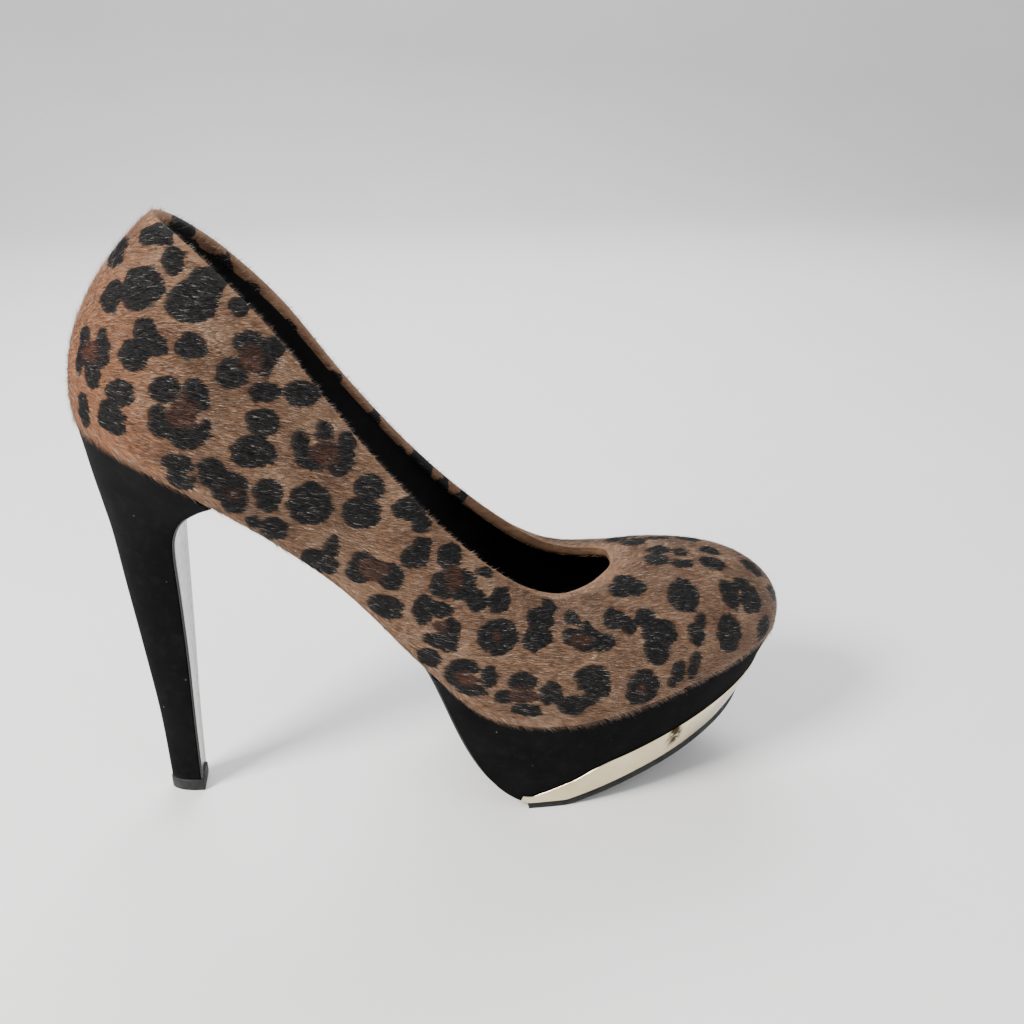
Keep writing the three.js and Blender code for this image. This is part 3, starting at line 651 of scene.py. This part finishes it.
# The hide folds in over the topline: depth, height on the wall and rise of its face, then its core.
FOLD = [
    (0.3, 1, 0.3), (1, 1, 0.5), (2, 1, 0.55), (3, 1, 0.3),
    (3.5, 0.99, 0), (3.75, 0.975, 0), (3.75, 0.952, 0),
]
FOLD_CORE = [
    (1.25, 0.99), (1.6, 0.985), (2, 0.98), (2.4, 0.975), (2.9, 0.972), (3.45, 0.965), (3.45, 0.953),
]
HIDE_COLUMNS, HIDE_ROWS = 780, 66


def upper():
    """The hide: from its margin under the insole board, up the wall and in over the topline."""
    ks = np.linspace(0, LAP, HIDE_COLUMNS, endpoint=False)[:, None]
    def margin(last, up):
        insets = (MARGIN_WIDTH, MARGIN_WIDTH / 2, last)
        return [feather.at(ks[:, 0], inset, up)[:, None] for inset in insets]
    face = surface(ks, np.linspace(0, 1, HIDE_ROWS)[None, :])
    over = [wall_point(ks, height, depth) + [0, 0, rise] for depth, height, rise in FOLD]
    outer = np.concatenate(margin(1.0, 0) + [face] + over, 1)
    inside = wall_point(ks, np.linspace(0.04, 0.995, HIDE_ROWS)[None, :], UPPER_THICK)
    within = [wall_point(ks, height, depth) for depth, height in FOLD_CORE]
    inner = np.concatenate(margin(1.3, UPPER_THICK) + [inside] + within, 1)
    points, faces = shell(outer, inner, wrap=True)
    obj = new_piece("upper_hide", points, faces, HIDE, "hair_calf", "upper", smooth=60)
    dark, brown = print_at(points)
    attribute(obj, "spot", dark)
    attribute(obj, "brown", brown)
    attribute(obj, "warm", warmth(points))
    unroll(obj, outer.shape[1])


def unroll(obj, rows):
    """A UV map of the hide: round the foot in u, up the outer face and down the inner one in v."""
    u = np.tile(np.repeat(np.arange(HIDE_COLUMNS) / HIDE_COLUMNS, rows), 2)
    faces_v = (np.linspace(0, 0.8, rows), np.linspace(0.99, 0.81, rows))
    v = np.concatenate([np.tile(face_v, HIDE_COLUMNS) for face_v in faces_v])
    corners = np.zeros(len(obj.data.loops), int)
    obj.data.loops.foreach_get("vertex_index", corners)
    corner_u = u[corners].reshape(-1, 4)
    on_seam = (corner_u.max(1) > 0.9) & (corner_u.min(1) < 0.1)
    corner_u[on_seam] = np.where(corner_u[on_seam] < 0.1, 1.0, corner_u[on_seam])
    uv = np.stack([corner_u.ravel(), v[corners]], 1)
    obj.data.uv_layers.new(name="OFBake").data.foreach_set("uv", uv.ravel().astype(np.float32))


# Each hair colour is one piece: its colour and roughness.
HAIR_COLORS = {
    "straw": (rgb(176, 150, 125), 0.4),
    "sand": (rgb(143, 112, 87), 0.42),
    "fawn": (rgb(125, 94, 70), 0.45),
    "camel": (rgb(108, 78, 57), 0.48),
    "chestnut": (rgb(77, 53, 40), 0.5),
    "rust": (rgb(142, 94, 64), 0.48),
    "umber": (rgb(56, 37, 29), 0.45),
    "soot": (rgb(6, 5, 5), 0.5),
    "coal": (rgb(11, 10, 10), 0.48),
    # grey strands among the black: partly greyer hair, partly painted sheen on the black hair
    "grey_hair_and_sheen": (rgb(34, 32, 32), 0.4),
    # pale strands: partly pale guard hairs, partly painted glints of light on the hair
    "pale_hair_and_glint": (rgb(212, 204, 194), 0.3),
}
HAIR_COUNT = 200000


def scattered(count):
    """Stations and heights of places spread evenly over the upper's area."""
    k_edges, t_edges = np.linspace(0, LAP, 521), np.linspace(0, 1, 41)
    k_mid, t_mid = (k_edges[:-1] + k_edges[1:]) / 2, (t_edges[:-1] + t_edges[1:]) / 2
    k, t = np.meshgrid(k_mid, t_mid, indexing="ij")
    area = np.linalg.norm(np.cross(*tangents(k, t)), axis=-1).ravel()
    cell = rng.choice(area.size, count, p=area / area.sum())
    k = k.ravel()[cell] + rng.uniform(-0.5, 0.5, count) * (k_edges[1] - k_edges[0])
    t = t.ravel()[cell] + rng.uniform(-0.5, 0.5, count) * (t_edges[1] - t_edges[0])
    return k, np.clip(t, 0.001, 0.999)


def over_the_fold(root, tip, n, t):
    """Moves six in ten of the topline's strands in over the hide's fold: onto its top or its inner face."""
    count = len(t)
    moved = rng.random(count) < 0.6 * smoothstep(t, 0.94, 0.96)
    inner_face = moved & (rng.random(count) < 0.6)
    depth = np.where(inner_face, 3.7, rng.uniform(0, 3.4, count)) * moved
    rise = np.where(moved & ~inner_face, 0.5, 0)
    stand = np.where(inner_face, rng.uniform(-0.7, -0.1, count), 0) + rise
    root = root - n * depth[:, None] + rise[:, None] * [0, 0, 1]
    return root, tip - n * (depth - stand)[:, None] + (rise + 0.3 * moved)[:, None] * [0, 0, 1]


def hair_tips(k, t, root, lie, n):
    """Where the strands end: a step along the lie, which follows the surface, and a little off it."""
    count = len(k)
    length = rng.uniform(2.4, 4.2, count) * (1 - 0.45 * smoothstep(t, 0.93, 0.99))
    at_back = 1 - smoothstep(np.minimum(k, LAP - k), 0.5, 1.6)
    ruffled = (rng.random(count) < 0.02 + 0.2 * at_back).astype(float)
    lift = rng.uniform(0.04, 0.16, count) + ruffled * rng.uniform(0.1, 0.45, count)

    # The step in stations and heights solves two equations in the surface's tangents.
    along_k, along_t = tangents(k, t)
    kk, kt, tt = (along_k**2).sum(1), (along_k * along_t).sum(1), (along_t**2).sum(1)
    a, b = (along_k * lie).sum(1), (along_t * lie).sum(1)
    det = kk * tt - kt**2
    k_tip, t_tip = k + length * (a * tt - b * kt) / det, t + length * (b * kk - a * kt) / det
    inside = (t_tip > 0) & (t_tip < 1)
    on_skin = surface(k_tip, np.clip(t_tip, 0, 1))
    tip = np.where(inside[:, None], on_skin, root + lie * length[:, None])
    return length, tip + n * (length * lift)[:, None]


def hair_kinds(root, middle):
    """The number of each strand's colour in HAIR_COLORS, and which strands are pale: pale hairs and painted
    glints.
    """
    count = len(root)
    straw, sand, fawn, camel, chestnut, rust, umber, soot, coal, grey_hair_and_sheen, pale_hair_and_glint = range(len(HAIR_COLORS))
    dark, brown = print_at(middle)
    pick = rng.random(count)
    tone = 0.5 + 0.32 * wobble(root, 20, 8) + rng.normal(0, 0.2, count)
    lighter = [tone > 0.86, tone > 0.64, tone > 0.42, tone > 0.2]
    ground = np.select(lighter, [straw, sand, fawn, camel], chestnut)
    ground = np.where(rng.random(count) < 0.6 * warmth(root), rust, ground)
    # One dark strand in ten is grey: partly greyer hair, partly painted sheen on the black hair.
    spot = np.select([pick < 0.5, pick < 0.9], [soot, coal], grey_hair_and_sheen)
    spot = np.where((brown > 0.5) & (pick < 0.7), umber, spot)
    is_dark = dark + rng.normal(0, 0.12, count) > 0.5
    # The pale strands stand partly for pale guard hairs and partly for painted glints of light on the hair.
    pale = rng.random(count) < np.where(is_dark, 0.045, 0.09)
    return np.where(pale, pale_hair_and_glint, np.where(is_dark, spot, ground)), pale


def hair_coat():
    """The hair: each strand a thin closed pyramid, sunk a little into the hide."""
    k, t = scattered(HAIR_COUNT)
    root = surface(k, t)
    lie, n = hair_lie(k, t)
    across = np.cross(n, lie)
    swirl = 0.16 * wobble(root, 26, 7) + rng.normal(0, 0.12, HAIR_COUNT)
    lie = unit(lie + across * swirl[:, None])
    length, tip = hair_tips(k, t, root, lie, n)
    kind, pale = hair_kinds(root, root + lie * (0.4 * length)[:, None])
    root, tip = over_the_fold(root, tip, n, t)
    fine, usual = rng.uniform(0.05, 0.08, HAIR_COUNT), rng.uniform(0.08, 0.14, HAIR_COUNT)
    wide = np.where(pale, fine, usual)[:, None]
    side, sunk = np.cross(n, lie), root - n * 0.08
    corners = np.stack([sunk + side * wide / 2, sunk - side * wide / 2, sunk + n * wide * 0.6, tip], 1)
    triangles = np.array([(0, 1, 2), (0, 2, 3), (2, 1, 3), (1, 0, 3)])
    for index, (name, (color, roughness)) in enumerate(HAIR_COLORS.items()):
        chosen = corners[kind == index]
        faces = (np.arange(len(chosen))[:, None, None] * 4 + triangles).reshape(-1, 3)
        add_strands(f"hair_{name}", chosen.reshape(-1, 3), faces, hair(f"hair_{name}", color, roughness))


def add_strands(name, points, faces, material):
    """A piece of very many flat triangles, which stands for no CAD node."""
    mesh = bpy.data.meshes.new(name)
    mesh.vertices.add(len(points))
    mesh.vertices.foreach_set("co", ((points + SHIFT) / 1000).astype(np.float32).ravel())
    mesh.loops.add(faces.size)
    mesh.loops.foreach_set("vertex_index", faces.ravel().astype(np.int32))
    mesh.polygons.add(len(faces))
    mesh.polygons.foreach_set("loop_start", np.arange(0, faces.size, 3, dtype=np.int32))
    mesh.update(calc_edges=True)
    placed(name, mesh, material)


def linings():
    """The lining pieces, whose top edges lie under the fold of the hide."""
    seam = 0.004  # in stations, cut from each end of a piece
    pieces = {
        "heel_grip_lining": (-2.5, 2.5), "lateral_quarter_lining": (2.5, TOE - 5),
        "vamp_lining": (TOE - 5, TOE + 5), "medial_quarter_lining": (TOE + 5, LAP - 2.5),
    }
    heights = np.linspace(0.04, 0.968, 34)[None, :]
    for name, (start, end) in pieces.items():
        ks = np.linspace(start + seam, end - seam, round((end - start) * 16))[:, None]
        outer, inner = (wall_point(ks, heights, depth) for depth in (LINING_OUTER, LINING_INNER))
        new_piece(f"{name}_leather", *shell(outer, inner), LINING, "lining", name)


def sock():
    """The sock lining, slightly crowned across."""
    ks = np.linspace(TIP_CUT, TOE - TIP_CUT, 150)[:, None]
    shares = np.linspace(0, 1, 25)[None, :]
    a, b = (feather.at(side, LINING_INNER, 0) for side in (ks[:, 0], LAP - ks[:, 0]))
    x, y = (lerp(a[:, None, i], b[:, None, i], shares) for i in (0, 1))
    crown = 0.5 * (1 - (2 * shares - 1) ** 2)
    top, under = feather.raised(x, y, SOCK_HIGH + crown), feather.raised(x, y, SOCK_LOW + 0 * crown)
    points, faces = shell(top, under)
    new_piece("sock_lining_leather", points, faces, LINING, "lining", "sock_lining")


# ---- The platform ----------------------------------------------------------------------------------


def platform_from(height):
    """The first station where the platform is that high."""
    k = PLATFORM_START
    while platform_room(np.array(k)) < height:
        k += 0.02
    return k


def platform_cover():
    start = platform_from(COVER_START)
    ks = np.linspace(start, LAP - start, 420)
    shares = np.linspace(0, 1, 14)[None, :]
    thick = np.minimum(COVER_THICK, platform_room(own_station(ks)) / 4)[:, None]
    def section(depth):
        low = base.at(ks, COVER_MARGIN, GAP + depth[:, 0])[:, None]
        high = feather.at(ks, COVER_MARGIN, -GAP - depth[:, 0])[:, None]
        return np.concatenate([low, side_point(ks[:, None], shares, depth), high], 1)
    points, faces = shell(section(0 * thick), section(thick))
    new_piece("platform_suede", points, faces, SUEDE, "suede", "platform_cover")


WORN_STATION, WORN_SHARE = 9.98, 0.3  # where the trim is worn through, along and up the platform's side


def trim_band():
    ks = np.linspace(TRIM_START, LAP - TRIM_START, 360)[:, None]
    taper = smoothstep(own_station(ks), TRIM_START - 0.3, TRIM_START + TRIM_TAPER)
    height = 1 + (TRIM_HEIGHT - 1) * taper
    rows = np.array([0, 0.02, 0.08, 0.25, 0.5, 0.75, 0.92, 0.98, 1])[None, :]
    edge = np.array([0.32, 0.12, 0.02, 0, 0, 0, 0.02, 0.12, 0.32])[None, :]
    def column(out):
        bottom, top = (side_point(ks, share, -out, 0) for share in (0, 1))
        side = np.linalg.norm(top - bottom, axis=-1)
        return side_point(ks, (GAP + height * rows) / side, -out, 0)
    points, faces = shell(column(GAP + TRIM_THICK - edge), column(GAP + 0 * edge))
    obj = new_piece("trim_band", points, faces, TRIM, "trim", "platform_trim", smooth=60)
    middle = side_point(WORN_STATION, WORN_SHARE, -GAP - TRIM_THICK, 0)
    away = (points - middle) * [0.36, 0.36, 0.22]
    attribute(obj, "worn", 1 - smoothstep(np.linalg.norm(away, axis=1), 0.8, 1.25))


def plate(name, span, inset, thick, edge, material, slot, node):
    """A sole plate under the base, between two stations."""
    ks = np.linspace(*span, 220)
    shares = (1 - np.cos(np.linspace(0, math.pi, 21))) / 2
    def level(up):
        a, b = base.at(ks, inset, up), base.at(LAP - ks, inset, up)
        return lerp(a[:, None], b[:, None], shares[None, :, None])
    points, faces = rounded(*shell(level(0), level(-thick)), edge)
    new_piece(name, points, faces, material, slot, node)


def soles():
    joint = 0.01  # in stations
    plate("waist_sole_gloss", (SOLE_FROM, TREAD_START - joint), WAIST_SOLE_INSET, WAIST_SOLE_THICK, 0.3,
          GLOSSY, "patent", "waist_sole")
    plate("outsole_rubber", (TREAD_START + joint, TOE - 2 * joint), 0, OUTSOLE_THICK, 0.5,
          RUBBER, "sole_rubber", "outsole")


# ---- The heel --------------------------------------------------------------------------------------

HEEL_TIP = LIFT_HEIGHT + GAP
seat_back, seat_front = (offset_of(feather, np.array(k), -GAP) for k in (0.0, HEEL_FRONT))


def section_ring(level, shares, inset, breast):
    """One section's outline, from the medial corner at share -1 over the back to the lateral one at 1."""
    back_up, front_up, back, front, half = level
    angle = np.abs(shares) * math.pi / 2
    forward = 1 - np.cos(angle)
    return np.stack([
        STEM_X + lerp(back + inset, front - breast, forward),
        -np.sign(shares) * (half - inset) * np.sin(angle),
        lerp(HEEL_TIP, lerp(seat_back[2], seat_front[2], forward), lerp(back_up, front_up, forward)),
    ], -1)


def heel_rings(shares, breast):
    """Rings from the tip to the seat, whose front stands back by the breast."""
    rings = [section_ring(level, shares, 0, breast) for level in HEEL_LEVELS]
    seat = feather.at(shares * HEEL_FRONT, 0, -GAP - 0.05)
    seat[:, 0] -= breast * np.abs(shares) ** 8
    rings = np.array(rings + [seat])
    padded = np.concatenate([2 * rings[:1] - rings[1:2], rings, 2 * rings[-1:] - rings[-2:-1]])
    steps = np.linspace(0, 1, 8, endpoint=False)
    made = [through(*padded[i : i + 4], w) for i in range(len(rings) - 1) for w in steps]
    return np.array(made + [rings[-1]])


def heel():
    shares = np.linspace(-1, 1, 65)
    points, faces = rounded(*loft(heel_rings(shares, BREAST_THICK + 0.05)), 0.35, 40)
    new_piece("heel_suede", points, faces, SUEDE, "suede", "heel_cover", smooth=50)
    heel_breast()

    def ring(grow, height):
        made = section_ring(HEEL_LEVELS[0], shares, -grow, -grow)
        made[:, 2] = height
        return made
    steps = [(0, 0), (0.3, 0.15), (LIFT_PROUD, 0.5), (LIFT_PROUD, 3.9), (0.3, 4.35), (0, LIFT_HEIGHT)]
    points, faces = loft(np.array([ring(grow, height) for grow, height in steps]))
    new_piece("top_lift_rubber", points, faces, RUBBER, "sole_rubber", "top_lift", smooth=50)


def heel_breast():
    """The strip down the heel's front, slightly hollow across."""
    corners = heel_rings(np.array([-1.0, 1.0]), 0)
    across = np.linspace(0, 1, 9)[None, :, None]
    face = lerp(corners[:, 1][:, None], corners[:, 0][:, None], across)
    hollow = 0.35 * (1 - (2 * across - 1) ** 2) * [1, 0, 0]
    back = face - [BREAST_THICK, 0, 0]
    rings = np.concatenate([face - hollow, back[:, ::-1]], 1)
    points, faces = rounded(*loft(rings), 0.15, 40)
    new_piece("heel_breast_gloss", points, faces, GLOSSY, "patent", "heel_breast_strip", smooth=50)


# ---- Carried-over nodes ----------------------------------------------------------------------------


def finish_nodes():
    """Materials for the pieces that stay as the CAD has them, inside the shoe."""
    by_slot = {
        "interlining": board("woven_interlining", rgb(214, 206, 188), rgb(180, 172, 154), 900),
        "fibre_board": board("fibre_board", rgb(158, 126, 92), rgb(112, 86, 60), 320),
        "foam": board("open_foam", rgb(222, 216, 198), rgb(178, 170, 150), 500),
        "plastic": board("moulded_plastic", rgb(52, 52, 55), rgb(38, 38, 41), 200),
        "steel": STEEL,
    }
    for part in frame["record"]["subparts"]:
        material = by_slot.get(part["material_slot"])
        if material:
            data = frame["nodes"][part["node"]].data
            data.materials.clear()
            data.materials.append(material)


# ---- Stage, light and camera -----------------------------------------------------------------------


def area_light(name, place, target, size, energy, color=(1, 1, 1)):
    data = bpy.data.lights.new(name, "AREA")
    data.shape, data.size, data.size_y = "RECTANGLE", size[0], size[1]
    data.energy, data.color = energy, color
    light = bpy.data.objects.new(name, data)
    light.location = place
    light.rotation_euler = (Vector(target) - Vector(place)).to_track_quat("-Z", "Y").to_euler()
    light.visible_camera = False
    bpy.context.scene.collection.objects.link(light)


def stage():
    """A pale floor, which curves up into a wall behind."""
    floor_end, bend = 1.2, 0.6
    angles = np.linspace(0.1, math.pi / 2, 16)
    sweep = [(-2.5, 0), (floor_end, 0)]
    sweep += [(floor_end + bend * math.sin(a), bend - bend * math.cos(a)) for a in angles]
    sweep += [(floor_end + bend, 3)]
    mesh = bpy.data.meshes.new("backdrop")
    points = [(x, y, z) for y, z in sweep for x in (-4, 4)]
    mesh.from_pydata(points, [], [(i, i + 1, i + 3, i + 2) for i in range(0, len(points) - 2, 2)])
    mesh.shade_smooth()
    backdrop = bpy.data.objects.new("backdrop", mesh)
    m = Material("pale_floor", rgb(236, 235, 233), 0.6)
    m.color(m.mix(m.noise(6, 3), rgb(232, 231, 229), rgb(240, 239, 238)))
    mesh.materials.append(m.material)
    bpy.context.scene.collection.objects.link(backdrop)


def lights():
    world = bpy.data.worlds.new("studio")
    world.use_nodes = True
    world.node_tree.nodes["Background"].inputs["Color"].default_value = (0.93, 0.95, 1, 1)
    world.node_tree.nodes["Background"].inputs["Strength"].default_value = 0.68
    bpy.context.scene.world = world
    area_light("key", (-0.75, -0.4, 0.8), (0, 0, 0.08), (0.35, 0.35), 25, (1, 0.98, 0.95))
    area_light("fill", (0.8, -0.6, 0.7), (0, 0, 0.08), (0.9, 0.9), 4)
    area_light("back", (0.1, 0.9, 0.9), (0, 0.2, 0.1), (1.0, 0.7), 14, (0.95, 0.97, 1))


def view():
    data = bpy.data.cameras.new("camera")
    data.lens, data.sensor_width = 37.44, 36
    camera = bpy.data.objects.new("camera", data)
    camera.location = (-0.03379, -0.3279, 0.25)
    aim = Vector((0.1425, 0.8998, -0.4123))
    camera.rotation_euler = aim.to_track_quat("-Z", "Y").to_euler()
    bpy.context.scene.collection.objects.link(camera)
    bpy.context.scene.camera = camera


upper()
hair_coat()
linings()
sock()
platform_cover()
trim_band()
soles()
heel()
finish_nodes()
stage()
lights()
view()
